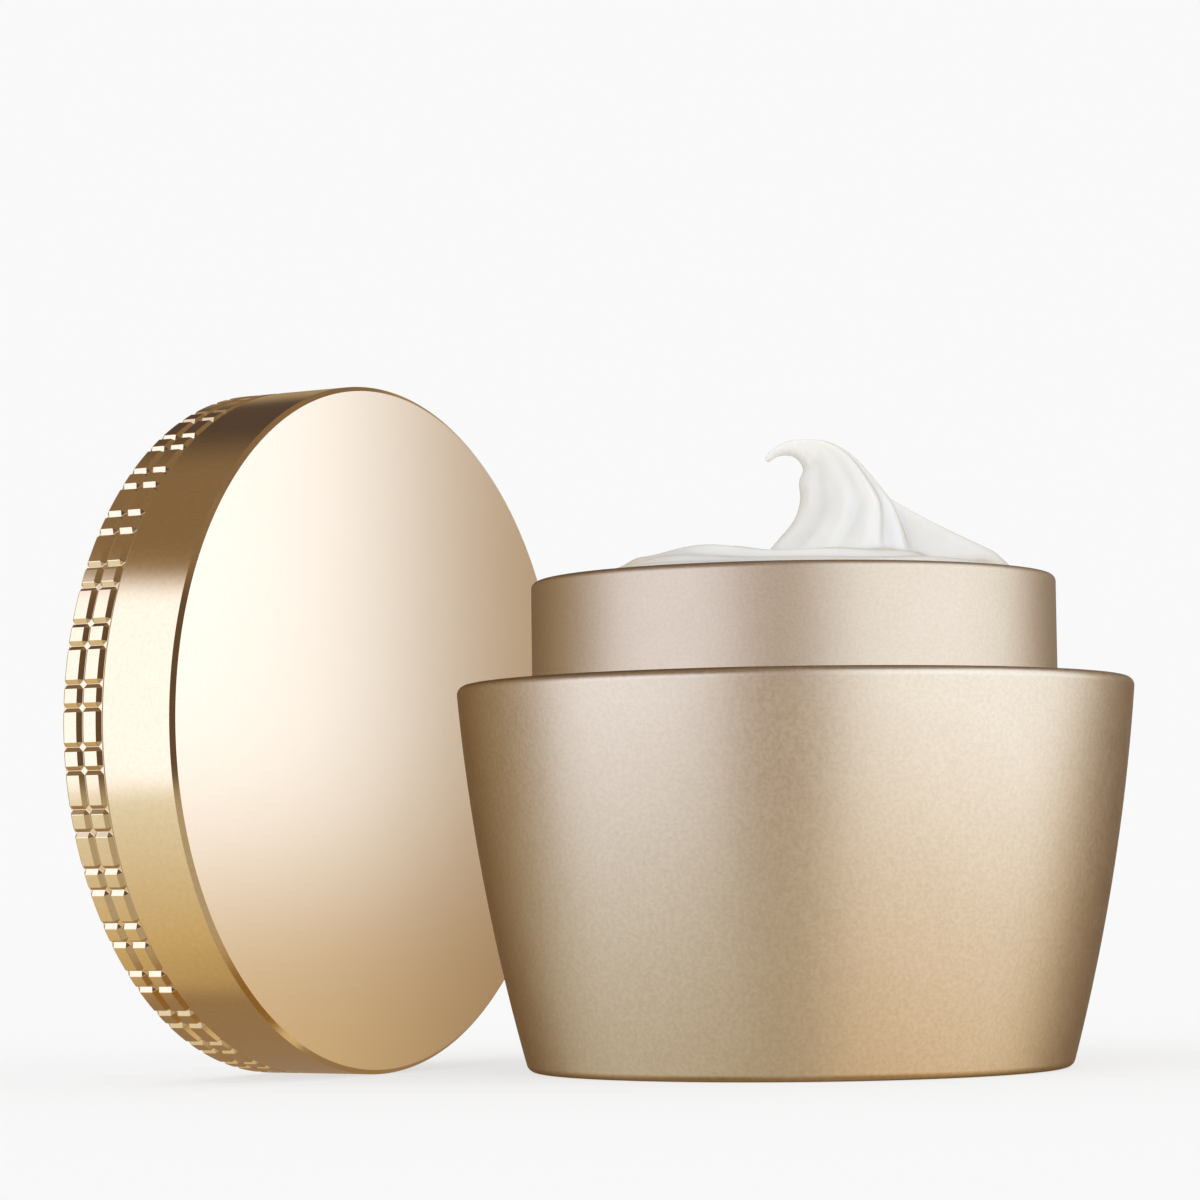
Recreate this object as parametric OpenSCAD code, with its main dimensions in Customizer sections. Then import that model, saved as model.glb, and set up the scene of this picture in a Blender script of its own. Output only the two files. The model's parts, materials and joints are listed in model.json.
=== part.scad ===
// Cosmetic cream jar: a tapered double-wall jar with a satin neck collar, filled with cream,
// and its push-on lid standing on edge beside it. Millimetres, +Z up.
// The origin is the jar's axis on the surface that it stands on; +Y is away from the front.

/* [Jar] */
// Diameter of the jar across its rim
jar_rim_d = 70.2; // [58:1:90]
// Diameter of the jar where it meets the table
jar_base_d = 56; // [46:1:68]
// Height of the jar's shoulder above the table
jar_h = 39.8; // [32:0.1:60]
// How far the side bows out past a straight taper
side_bulge = 0.95; // [0.5:0.05:1.5]
// Thickness of the outer jar's side
jar_wall = 2.4; // [1.6:0.1:3]
// Thickness of the shoulder deck
deck_t = 2; // [1.4:0.1:3]
// Rounding of the rim's outer edge
rim_round = 0.9; // [0.4:0.1:1.3]
// Rounding of the foot's outer edge
foot_round = 1; // [0.4:0.1:1.3]
// Thickness of the base plate
base_t = 1.6; // [1:0.1:3]
// Width of the ring that the jar stands on, outside the base plate
foot_ring = 3; // [2:0.1:5]

/* [Neck and cup] */
// How far the neck collar stands in from the jar's rim
collar_inset = 7.9; // [6.5:0.1:12]
// Height of the collar above the shoulder
collar_h = 10.7; // [8:0.1:16]
// Thickness of the collar's wall
collar_wall = 1.4; // [1:0.1:2]
// Thickness and reach of the lip that turns in over the cup's edge
lip_t = 0.9; // [0.6:0.1:1.4]
// Rounding of the collar's top edge
lip_round = 0.7; // [0.3:0.05:0.85]
// Thickness of the inner cup's wall
cup_wall = 1.2; // [0.8:0.1:1.8]
// Thickness of the inner cup's floor
cup_floor = 1.4; // [0.8:0.1:2.5]
// Depth of the cup below the top of the collar
cup_depth = 28; // [18:0.5:32]
// Height of the flange that hangs the cup on the shoulder
flange_t = 1.2; // [0.8:0.1:2]
// Reach of that flange past the cup's wall
flange_w = 0.8; // [0.4:0.1:1]

/* [Cream] */
// Depth of the cream's level below the top of the collar
cream_gap = 0.5; // [0.3:0.1:4]
// Height of the swirl's peak above the cream's level
swirl_h = 15; // [6:0.5:20]
// Width of the flat cream left between the swirl and the cup's wall
swirl_margin = 0.4; // [0.3:0.1:6]
// How far the swirl's peak leans to the side on its way up
swirl_lean = 9.5; // [0:0.5:14]

/* [Lid] */
// How far the lid stands out past the jar's rim, all round
lid_proud = 0.4; // [-0.5:0.1:1.5]
// Thickness of the lid's top
lid_top_t = 1; // [0.8:0.1:2]
// Thickness of the lid's side behind the plain band
lid_wall = 2.1; // [1.8:0.1:3]
// Width of the bevel round the lid's face
face_bevel = 0.45; // [0.2:0.05:0.8]
// Thickness of the foam liner
liner_t = 0.6; // [0.4:0.1:1.2]
// Thickness of the inner cap's web and of its outer wall
cap_t = 0.6; // [0.4:0.1:1.2]
// Thickness of the sleeve that grips the collar
sleeve_t = 1.4; // [1:0.1:2]
// Thickness of the ribs between the sleeve and the outer wall
rib_t = 1; // [0.6:0.1:1.6]
// Number of those ribs
rib_count = 12; // [6:1:24]

/* [Grip ring] */
// Thickness of the ring
ring_t = 1.1; // [0.9:0.1:1.6]
// Number of rows of pads
pad_rows = 2; // [1:1:3]
// Width of a pad's flat top along the lid's axis
pad_w = 1.5; // [1:0.1:2]
// Depth of the V grooves between the pads, which are twice as wide
groove_depth = 0.45; // [0.2:0.05:0.6]
// Bevel at the ring's open end
ring_bevel = 0.3; // [0.1:0.05:0.5]
// Number of pairs of pads round the ring
pad_pairs = 36; // [24:1:40]
// Share of a pair's turn that the short pad takes
short_share = 0.375; // [0.3:0.025:0.5]
// Turn of the pattern round the ring, in degrees
ring_turn = 5.6; // [0:0.1:10]

/* [Sealing disc] */
// Thickness of the disc's rim
disc_t = 0.8; // [0.6:0.1:1.4]
// Thickness of the disc's web
disc_web = 0.4; // [0.3:0.05:0.5]
// Width of the disc's rim
disc_rim_w = 3; // [2:0.1:5]
// Length of the pull tab moulded on the web
tab_l = 10; // [6:0.5:14]
// Depth of the disc inside the mouth of the standing lid
disc_inset = 0.4; // [0.2:0.1:1]

/* [Fits] */
// Radial clearance of the inner cap's sleeve on the collar
sleeve_clear = 0.15; // [0.08:0.01:0.3]
// Radial clearance of the sealing disc in the sleeve
disc_clear = 0.25; // [0.15:0.01:0.4]
// Gap between the closed lid and the jar's shoulder
lid_gap = 0.2; // [0.1:0.05:0.5]
// Gap left between faces that meet when the jar is closed
seat_gap = 0.05; // [0.02:0.01:0.1]
// Radial clearance of the cup in the shoulder's hole, and of the base plate in the foot
drop_in_clear = 0.05; // [0.02:0.01:0.1]

/* [Standing lid] */
// Turn of the lid's face from facing right towards the front, in degrees
lid_turn = 28.2; // [10:0.1:45]
// Gap between the plane of the lid's face and the jar's rim
lid_clear = 0.9; // [0.5:0.1:6]
// How far the lid stands forward along its own face
lid_forward = 23.1; // [0:0.1:30]

/* [Pose] */
// Share of the swing that carries the lid from the table to over the jar
swing_share = 0; // [0:0.05:1]
// Share of the push that seats the lid on the collar
push_share = 0; // [0:0.05:1]

/* [Hidden] */
$fn = 96;
over = 1;          // how far a cutting shape runs past what it cuts
arc_fn = 720;      // fineness of the long shallow arc of the side

// jar
rim_r = jar_rim_d / 2;
base_r = jar_base_d / 2;
taper = [rim_r - base_r, jar_h];
side_r = (norm(taper) * norm(taper) / 4 + side_bulge * side_bulge) / (2 * side_bulge);
side_mid = [base_r, 0] + taper / 2;
side_out = [taper[1], -taper[0]] / norm(taper);
side_c = side_mid - (side_r - side_bulge) * side_out;
rim_c = tangent_centre(rim_round, jar_h - rim_round);
foot_c = tangent_centre(foot_round, foot_round);
plate_r = base_r - foot_ring;

// neck and cup
collar_r = rim_r - collar_inset;
collar_top = jar_h + collar_h;
cup_outer_r = collar_r - collar_wall;
cup_inner_r = cup_outer_r - cup_wall;
cup_top = collar_top - lip_t;
cup_bottom = collar_top - cup_depth - cup_floor;
lip_inner_r = cup_outer_r - lip_t;
flange_r = cup_outer_r + flange_w;

// cream
cream_z = collar_top - cream_gap;
swirl_foot_r = cup_inner_r - swirl_margin;
swirl_sides = 28;
swirl_rings = 18;
swirl_tip_r = 0.35;
swirl_foot_share = 0.22;   // share of the swirl's height that its low mound takes
swirl_neck_r = 9;          // radius where the mound turns into the peak
peak_inset = 4.9;          // how far the peak's foot stays inside the mound's
peak_x = swirl_foot_r - swirl_neck_r - peak_inset;
peak_y = -2;

// heights inside the lid, from its mouth
sleeve_r = collar_r + sleeve_clear;
disc_r = sleeve_r - disc_clear;
disc_seat_z = collar_top + seat_gap;
closed_mouth_z = jar_h + lid_gap;
push_travel = disc_seat_z - disc_inset - closed_mouth_z;
liner_z = disc_inset + disc_t + push_travel + seat_gap;
web_z = liner_z + liner_t;
top_z = web_z + cap_t;
lid_h = top_z + lid_top_t;
lid_r = rim_r + lid_proud;
lid_inner_r = lid_r - lid_wall;
ring_inner_r = lid_r - ring_t;
mouth_inset = 0.5;         // how far the pieces inside the lid stop short of its mouth
pad_pitch = pad_w + 2 * groove_depth;
ring_h = ring_bevel + pad_rows * pad_pitch;
short_turn = short_share * 360 / pad_pairs;

// where the lid stands, and the swing that carries it over the jar
up = [0, 0, 1];
face_n = [cos(lid_turn), -sin(lid_turn), 0];
along_face = [sin(lid_turn), cos(lid_turn), 0];
face_c = -(rim_r + lid_clear) * face_n - lid_forward * along_face + lid_r * up;
mouth_rest = face_c - lid_h * face_n;
mouth_over = (disc_seat_z - disc_inset) * up;
swing_way = mouth_over - mouth_rest;
swing_axis = cross(swing_way, face_n - up) / norm(cross(swing_way, face_n - up));
axis_lean = swing_axis * up;
short_way = acos((face_n * up - axis_lean * axis_lean) / (1 - axis_lean * axis_lean));
swing_deg = 360 - short_way;
swing_pivot = (mouth_rest + mouth_over) / 2
    + cross(swing_axis, swing_way) / (2 * tan(swing_deg / 2));

satin_gold = "#d5b795";
polished_gold = "#cfae71";
plastic_white = "#f1efe9";
foam_white = "#e6e6e2";
cream_white = "#fbfaf6";

// Centre of a circle of radius r, at height z, that touches the side's arc from inside
function tangent_centre(r, z) =
    [side_c[0] + sqrt((side_r - r) * (side_r - r) - (z - side_c[1]) * (z - side_c[1])), z];

function bearing(a) = [cos(a), sin(a)];

// Direction from the centre of the side's arc to a point
function side_angle(p) = atan2(p[1] - side_c[1], p[0] - side_c[0]);

// What a rounded corner leaves off: the wedge from angle a to angle b outside a circle
module corner_waste(c, r, a, b) {
    reach = 3 * r;
    difference() {
        polygon([c, c + reach * bearing(a), c + 2 * reach * bearing((a + b) / 2),
            c + reach * bearing(b)]);
        translate(c) circle(r);
    }
}

// The space inside the jar's side, drawn in by an inset
module side_profile(inset) {
    intersection() {
        translate(side_c) circle(side_r - inset, $fn = arc_fn);
        square([rim_r + over, jar_h]);
    }
}

module tube(r_out, r_in, z0, z1) {
    rotate_extrude()
        translate([r_in, z0]) square([r_out - r_in, z1 - z0]);
}

module outer_jar() {
    color(satin_gold) rotate_extrude() difference() {
        side_profile(0);
        corner_waste(rim_c, rim_round, side_angle(rim_c), 90);
        corner_waste(foot_c, foot_round, -90, side_angle(foot_c));
        intersection() {
            side_profile(jar_wall);
            translate([0, base_t]) square([rim_r, jar_h - deck_t - base_t]);
        }
        translate([-over, -over]) square([plate_r + drop_in_clear + over, base_t + 2 * over]);
        translate([-over, 0]) square([cup_outer_r + drop_in_clear + over, jar_h + over]);
    }
}

module base_plate() {
    color(plastic_white) cylinder(r = plate_r, h = base_t);
}

module inner_cup() {
    color(plastic_white) rotate_extrude() difference() {
        union() {
            translate([0, cup_bottom]) square([cup_outer_r, cup_top - cup_bottom]);
            translate([0, jar_h]) square([flange_r, flange_t]);
        }
        translate([-over, cup_bottom + cup_floor]) square([cup_inner_r + over, cup_depth + over]);
    }
}

module collar() {
    top_c = [collar_r - lip_round, collar_top - lip_round];
    color(satin_gold) rotate_extrude() difference() {
        translate([lip_inner_r, jar_h]) square([collar_r - lip_inner_r, collar_h]);
        corner_waste(top_c, lip_round, 0, 90);
        translate([0, jar_h - over]) square([cup_outer_r, collar_h - lip_t + over]);
        translate([0, jar_h - over]) square([flange_r, flange_t + over]);
    }
}

module cream_fill() {
    color(cream_white) translate([0, 0, collar_top - cup_depth])
        cylinder(r = cup_inner_r, h = cup_depth - cream_gap);
}

// Radius of the swirl at a share t of its height: a domed mound, then a peak that narrows
function swirl_r(t) = t < swirl_foot_share
    ? swirl_neck_r + (swirl_foot_r - swirl_neck_r) * sqrt(1 - t / swirl_foot_share)
    : swirl_tip_r + (swirl_neck_r - swirl_tip_r)
        * pow((1 - t) / (1 - swirl_foot_share), 1.1);

function swirl_centre(t) =
    let (u = min(1, t / swirl_foot_share), v = max(0, t - swirl_foot_share))
    [peak_x * u * u - swirl_lean * v / (1 - swirl_foot_share), peak_y * u * u];

module cream_swirl() {
    turn = 360 / swirl_sides;
    points = [for (k = [0 : swirl_rings]) for (i = [0 : swirl_sides - 1])
        let (t = k / swirl_rings, c = swirl_centre(t), r = swirl_r(t))
        [c[0] + r * cos(turn * i), c[1] + r * sin(turn * i), cream_z + swirl_h * t]];
    foot = [[for (i = [0 : swirl_sides - 1]) i]];
    tip = [[for (i = [swirl_sides - 1 : -1 : 0]) swirl_rings * swirl_sides + i]];
    sides = [for (k = [0 : swirl_rings - 1]) for (i = [0 : swirl_sides - 1])
        let (a = k * swirl_sides, j = (i + 1) % swirl_sides)
        [a + i, a + swirl_sides + i, a + swirl_sides + j, a + j]];
    color(cream_white) polyhedron(points, concat(foot, sides, tip), convexity = 4);
}

// Carries what rides with the swing: the disc, and the lid around it
module swung() {
    translate(swing_pivot) rotate(a = swing_share * swing_deg, v = swing_axis)
        translate(mouth_rest - swing_pivot) rotate([0, 90, -lid_turn]) children();
}

// The lid is drawn upright, with its mouth at zero and its face up
module pushed() {
    swung() translate([0, 0, -push_share * push_travel]) children();
}

module sealing_disc() {
    tab_w = tab_l / 2;
    color(plastic_white) swung() translate([0, 0, disc_inset]) {
        tube(disc_r, disc_r - disc_rim_w, 0, disc_t);
        cylinder(r = disc_r - disc_rim_w, h = disc_web);
        translate([0, -tab_w / 2, 0]) cube([tab_l, tab_w, disc_t]);
    }
}

module lid_shell() {
    bevel = face_bevel;
    color(polished_gold) pushed() rotate_extrude() difference() {
        union() {
            translate([0, ring_h]) polygon([[0, 0], [lid_r, 0], [lid_r, lid_h - ring_h - bevel],
                [lid_r - bevel, lid_h - ring_h], [0, lid_h - ring_h]]);
            translate([0, mouth_inset]) square([ring_inner_r, ring_h - mouth_inset]);
        }
        translate([-over, 0]) square([lid_inner_r + over, top_z]);
    }
}

// Outline of the grip ring: a bevelled end, then each pad's flat and the V groove after it
function pad_outline(z) = [[lid_r, z], [lid_r, z + pad_w],
    [lid_r - groove_depth, z + pad_w + groove_depth]];

module grip_ring() {
    outline = concat([[ring_inner_r, 0], [lid_r - ring_bevel, 0]],
        [for (k = [0 : pad_rows - 1]) each pad_outline(ring_bevel + k * pad_pitch)],
        [[lid_r, ring_h], [ring_inner_r, ring_h]]);
    last_groove_z = ring_h - groove_depth;
    color(polished_gold) pushed() difference() {
        rotate_extrude() polygon(outline);
        for (k = [0 : pad_pairs - 1]) for (side = [-1, 1])
            rotate([0, 0, ring_turn + k * 360 / pad_pairs + side * short_turn / 2])
                translate([lid_r - groove_depth, 0, -over]) linear_extrude(last_groove_z + over)
                    polygon([[0, 0], [over, over], [over, -over]]);
    }
}

module inner_cap() {
    ring_gap = lid_inner_r - cap_t - sleeve_r;
    color(plastic_white) pushed() {
        translate([0, 0, web_z]) cylinder(r = lid_inner_r, h = cap_t);
        tube(lid_inner_r, lid_inner_r - cap_t, mouth_inset, web_z);
        tube(sleeve_r + sleeve_t, sleeve_r, mouth_inset, web_z);
        for (k = [0 : rib_count - 1]) rotate([0, 0, k * 360 / rib_count])
            translate([sleeve_r + sleeve_t / 2, -rib_t / 2, ring_h])
                cube([ring_gap - sleeve_t / 2 + cap_t / 2, rib_t, web_z - ring_h]);
    }
}

module liner() {
    color(foam_white) pushed() translate([0, 0, liner_z])
        cylinder(r = disc_r, h = liner_t);
}

outer_jar();
inner_cup();
collar();
base_plate();
cream_fill();
cream_swirl();
sealing_disc();
lid_shell();
grip_ring();
inner_cap();
liner();
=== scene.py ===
"""Looks of the cosmetic cream jar: spun gold shells, moulded plastic parts and a swirl of cream.

Lengths in the tables are millimetres, as on the maker's drawing; MM turns them into metres.
"""
import json
import math

import bmesh
import bpy
import numpy as np
from mathutils import Matrix, Vector


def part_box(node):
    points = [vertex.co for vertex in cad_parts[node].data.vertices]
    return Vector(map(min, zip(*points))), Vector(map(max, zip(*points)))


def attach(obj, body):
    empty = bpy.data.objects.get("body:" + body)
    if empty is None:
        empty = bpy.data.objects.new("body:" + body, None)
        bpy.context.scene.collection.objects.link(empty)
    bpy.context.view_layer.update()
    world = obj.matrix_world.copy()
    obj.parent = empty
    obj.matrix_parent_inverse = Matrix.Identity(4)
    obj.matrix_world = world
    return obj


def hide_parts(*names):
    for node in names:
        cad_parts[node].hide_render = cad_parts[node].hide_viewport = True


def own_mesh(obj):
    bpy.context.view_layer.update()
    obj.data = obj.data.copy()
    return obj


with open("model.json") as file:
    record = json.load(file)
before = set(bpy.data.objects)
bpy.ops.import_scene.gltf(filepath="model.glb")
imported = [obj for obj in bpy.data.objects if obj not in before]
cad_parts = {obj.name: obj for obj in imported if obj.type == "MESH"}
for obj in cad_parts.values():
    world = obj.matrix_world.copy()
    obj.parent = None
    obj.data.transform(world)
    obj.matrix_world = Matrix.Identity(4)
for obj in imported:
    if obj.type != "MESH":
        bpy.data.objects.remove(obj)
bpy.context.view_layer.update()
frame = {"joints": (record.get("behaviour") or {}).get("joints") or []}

MM = 0.001
TURN = 2 * math.pi

# ---------------------------------------------------------------- sizes from the frame
joints = {j["name"]: j for j in frame["joints"]}


def middle(node):
    low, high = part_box(node)
    return (low + high) / 2


_, jar_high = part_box("outer_jar")
_, collar_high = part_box("collar")
cup_low, cup_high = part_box("inner_cup")
_, plate_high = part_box("base_plate")
fill_low, fill_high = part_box("cream_fill")

JAR_H = jar_high.z / MM
COLLAR_R = collar_high.x / MM
COLLAR_TOP = collar_high.z / MM
CUP_R = cup_high.x / MM          # over the flange
CUP_BOTTOM = cup_low.z / MM
PLATE_R = plate_high.x / MM
PLATE_T = plate_high.z / MM
CREAM_R = fill_high.x / MM
CREAM_Z = fill_high.z / MM
CREAM_BOTTOM = fill_low.z / MM

# ---------------------------------------------------------------- sizes from the drawing
RIM_R = 35.1
BASE_R = 28.0
SIDE_BULGE = 0.95
JAR_WALL = 2.4
DECK_T = 2.0
RIM_ROUND = 0.9
FOOT_ROUND = 1.0
DROP_IN = 0.05
COLLAR_WALL = 1.4
LIP_T = 0.9
LIP_ROUND = 0.7
FLANGE_T = 1.2
CUP_WALL = 1.2
CUP_FLOOR = 1.4

DISC_R = 27.1
DISC_T = 0.8
DISC_WEB = 0.4
DISC_RIM_W = 3.0
DISC_INSET = 0.4
TAB_L = 10.0

LID_R = 35.5
LID_H = 13.6
LID_WALL = 2.1
LID_TOP_T = 1.0
FACE_BEVEL = 0.45
MOUTH_INSET = 0.5
CAP_T = 0.6
LINER_T = 0.6
SLEEVE_R = 27.35
SLEEVE_T = 1.4
RIB_T = 1.0
RIB_COUNT = 12

RING_T = 1.1
PAD_W = 1.5
GROOVE = 0.45
RING_BEVEL = 0.3
PAD_ROWS = 2
PAD_PAIRS = 36
SHORT_SHARE = 0.375
RING_TURN = 5.6

SHELL_SIDES = 360  # round of a spun gold shell
CAP_SIDES = 240    # round of the inner cap and the disc
MOULD_SIDES = 192  # round of the smaller moulded parts and the cream
FINE = 0.06        # smallest rounding on a moulded or spun edge
TINY = 1e-6        # a length taken as nothing
NO_BEND = 1e-4     # a bend, in radians, taken as none

# the lid stands on edge: its own +z runs from its mouth to its face
face_n = -Vector(joints["lid_push"]["axis"]).normalized()
disc_middle = middle("sealing_disc")
mouth = disc_middle - face_n * (DISC_INSET + DISC_T / 2) * MM
lid_x = Vector((0, 0, -1))
lid_y = face_n.cross(lid_x)
lid_place = Matrix((lid_x, lid_y, face_n)).transposed().to_4x4()
lid_place.translation = mouth


# ---------------------------------------------------------------- outlines and spun shapes
def arc(centre, radius, start, end, steps):
    """Points on a circle and their outward normals, from one angle to another in degrees."""
    found = []
    for k in range(steps + 1):
        a = math.radians(start + (end - start) * k / steps)
        n = (math.cos(a), math.sin(a))
        found.append(((centre[0] + radius * n[0], centre[1] + radius * n[1]), n))
    return found


def rounded(corners, steps=5):
    """A closed outline with rounded corners, as points with normals.

    Each corner is (r, z, rounding); the outline runs with its material on the left.
    """
    outline = []
    count = len(corners)
    for k, (r, z, size) in enumerate(corners):
        here = np.array((r, z), float)
        before = np.array(corners[k - 1][:2], float) - here
        after = np.array(corners[(k + 1) % count][:2], float) - here
        len_in, len_out = np.linalg.norm(before), np.linalg.norm(after)
        d_in, d_out = -before / len_in, after / len_out
        n_in, n_out = np.array((d_in[1], -d_in[0])), np.array((d_out[1], -d_out[0]))
        cross = d_in[0] * d_out[1] - d_in[1] * d_out[0]
        turn = math.atan2(cross, float(d_in @ d_out))
        if size <= 0 or abs(turn) < NO_BEND or r < TINY:
            along_axis = max(r, corners[k - 1][0]) < TINY
            outline.append((tuple(here), tuple(n_out if along_axis else n_in)))
            continue
        cut = min(size * abs(math.tan(turn / 2)), 0.49 * len_in, 0.49 * len_out)
        radius = cut / abs(math.tan(turn / 2))
        side = 1 if turn > 0 else -1
        centre = here - d_in * cut - n_in * radius * side
        a0 = math.atan2(*(n_in * side)[::-1])
        for j in range(steps + 1):
            a = a0 + turn * j / steps
            spoke = np.array((math.cos(a), math.sin(a)))
            outline.append((tuple(centre + spoke * radius), tuple(spoke * side)))
    return outline


def new_object(name, mesh):
    made = bpy.data.objects.new(name, mesh)
    bpy.context.scene.collection.objects.link(made)
    return made


def finish_mesh(name, points, faces, normals=None, place=None):
    """A smooth-shaded object from points in millimetres."""
    mesh = bpy.data.meshes.new(name)
    mesh.from_pydata([tuple(p) for p in np.asarray(points, float) * MM], [], faces)
    mesh.validate()
    mesh.polygons.foreach_set("use_smooth", [True] * len(mesh.polygons))
    if place is not None:
        mesh.transform(place)
        if normals is not None:
            turn = np.array(place.to_3x3(), float)
            normals = np.asarray(normals, float) @ turn.T
    if normals is not None:
        mesh.normals_split_custom_set_from_vertices([tuple(n) for n in normals])
    mesh.update()
    return new_object(name, mesh)


def spun(name, outline, place=None, *, sides):
    """Turns a closed outline round its axis; points on the axis become one point."""
    points, normals, rings = [], [], []
    for (r, z), (nr, nz) in outline:
        if r < TINY:
            rings.append([len(points)])
            points.append((0, 0, z))
            normals.append((0, 0, 1 if nz > 0 else -1))
            continue
        rings.append(range(len(points), len(points) + sides))
        for k in range(sides):
            a = TURN * k / sides
            points.append((r * math.cos(a), r * math.sin(a), z))
            normals.append((nr * math.cos(a), nr * math.sin(a), nz))
    faces = []
    for k, ring in enumerate(rings):
        after = rings[(k + 1) % len(rings)]
        if len(ring) == 1 and len(after) == 1:
            continue
        for i in range(sides):
            j = (i + 1) % sides
            if len(ring) == 1:
                faces.append((ring[0], after[j], after[i]))
            elif len(after) == 1:
                faces.append((ring[i], ring[j], after[0]))
            else:
                faces.append((ring[i], ring[j], after[j], after[i]))
    return finish_mesh(name, points, faces, normals, place)


def stands_for(piece, body, slot, *nodes):
    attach(piece, body)
    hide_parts(*nodes)
    return piece


# ---------------------------------------------------------------- shader maths
class Wire:
    """A shader socket in a sum: every operator adds its Math node."""

    def __init__(self, bench, socket):
        self.bench, self.socket = bench, socket

    def calc(self, operation, *others):
        return self.bench.add("ShaderNodeMath", {"operation": operation}, (self, *others))

    def __add__(self, other):
        return self.calc("ADD", other)

    __radd__ = __add__

    def __mul__(self, other):
        return self.calc("MULTIPLY", other)

    def __sub__(self, other):
        return self.calc("SUBTRACT", other)

    def __rsub__(self, other):
        return self.bench.add("ShaderNodeMath", {"operation": "SUBTRACT"}, (other, self))

    def __neg__(self):
        return self.calc("MULTIPLY", -1.0)

    def clipped(self):
        return self.calc("ADD", 0.0).clamp()

    def clamp(self):
        self.socket.node.use_clamp = True
        return self


class Bench:
    """One node tree being wired."""

    def __init__(self, tree):
        self.tree = tree
        tree.nodes.clear()

    def add(self, kind, settings=None, sockets=(), out=0):
        """A node of this kind: its settings first, then its sockets by name or in order."""
        node = self.tree.nodes.new(kind)
        for key, value in (settings or {}).items():
            if key == "stops":
                ramp = node.color_ramp.elements
                while len(ramp) < len(value):
                    ramp.new(1.0)
                for stop, (place, colour) in zip(ramp, value):
                    stop.position, stop.color = place, colour
            else:
                setattr(node, key, value)
        named = sockets.items() if isinstance(sockets, dict) else enumerate(sockets)
        for key, value in named:
            if isinstance(value, Wire):
                self.tree.links.new(value.socket, node.inputs[key])
            elif value is not None:
                node.inputs[key].default_value = value
        return Wire(self, node.outputs[out]) if len(node.outputs) else node

    def mix(self, share, first, second):
        """A colour between two colours."""
        return self.add("ShaderNodeMix", {"data_type": "RGBA"}, {0: share, 6: first, 7: second}, 2)

    def noise(self, where, scale, detail=3.0, roughness=0.5, distortion=0.0):
        sockets = {"Vector": where, "Scale": scale, "Detail": detail,
                   "Roughness": roughness, "Distortion": distortion}
        return self.add("ShaderNodeTexNoise", {}, sockets)

    def step(self, value, low, high, bottom=0.0, top=1.0):
        """A smooth rise from bottom to top while the value goes from low to high."""
        return self.add("ShaderNodeMapRange", {"interpolation_type": "SMOOTHSTEP"},
                        {"Value": value, "From Min": low, "From Max": high,
                         "To Min": bottom, "To Max": top})


def colour(r, g, b):
    return (r, g, b, 1.0)


WARM_SHEEN = colour(1.0, 0.87, 0.60)


def new_finish(name):
    finish = bpy.data.materials.new(name)
    finish.use_nodes = True
    return finish, Bench(finish.node_tree)


def close_finish(bench, sockets):
    surface = bench.add("ShaderNodeBsdfPrincipled", {}, sockets)
    bench.add("ShaderNodeOutputMaterial", {}, {"Surface": surface})


def metal_finish(name, deep, pale, rim, rough, spread, grain_size, grain_depth, sheen_size):
    """Anodised metal: a fine grain, slow clouds in the colour and handling marks."""
    finish, bench = new_finish(name)
    where = bench.add("ShaderNodeTexCoord", {}, (), "Object")
    grain = bench.noise(where, 1 / (grain_size * MM), 3.0, 0.7)
    speck = bench.step(grain, 0.33, 0.67)
    cloud = bench.noise(where, 1 / (sheen_size * MM), 4.0, 0.55)
    smear = bench.noise(where, 1 / (sheen_size * 0.23 * MM), 3.0, 0.6, 0.8)
    tint = bench.mix((speck * 0.6 + cloud * 0.4).clipped(), deep, pale)
    matt = rough + (grain - 0.5) * spread + (smear - 0.5) * spread * 0.35
    bump = bench.add("ShaderNodeBump", {}, {"Strength": 1.0, "Distance": grain_depth * MM,
                                            "Height": grain})
    close_finish(bench, {"Base Color": tint, "Metallic": 1.0, "Roughness": matt.clipped(),
                         "Specular Tint": rim, "Normal": bump})
    return finish


def plastic_finish(name, deep, pale, rough):
    """Moulded polypropylene: a waxy body, a faint spark-eroded skin and flow clouds."""
    finish, bench = new_finish(name)
    where = bench.add("ShaderNodeTexCoord", {}, (), "Object")
    skin = bench.noise(where, 1 / (0.18 * MM), 2.0, 0.5)
    flow = bench.noise(where, 1 / (9 * MM), 3.0, 0.5, 1.2)
    tint = bench.mix(flow, deep, pale)
    matt = rough + (skin - 0.5) * 0.12 + (flow - 0.5) * 0.1
    bump = bench.add("ShaderNodeBump", {}, {"Strength": 0.6, "Distance": 0.006 * MM,
                                            "Height": skin})
    close_finish(bench, {"Base Color": tint, "Roughness": matt.clipped(), "IOR": 1.49,
                         "Specular Tint": WARM_SHEEN,
                         "Subsurface Weight": 0.25, "Subsurface Scale": 0.6 * MM,
                         "Subsurface Radius": (1.0, 0.9, 0.75), "Normal": bump})
    return finish


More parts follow.
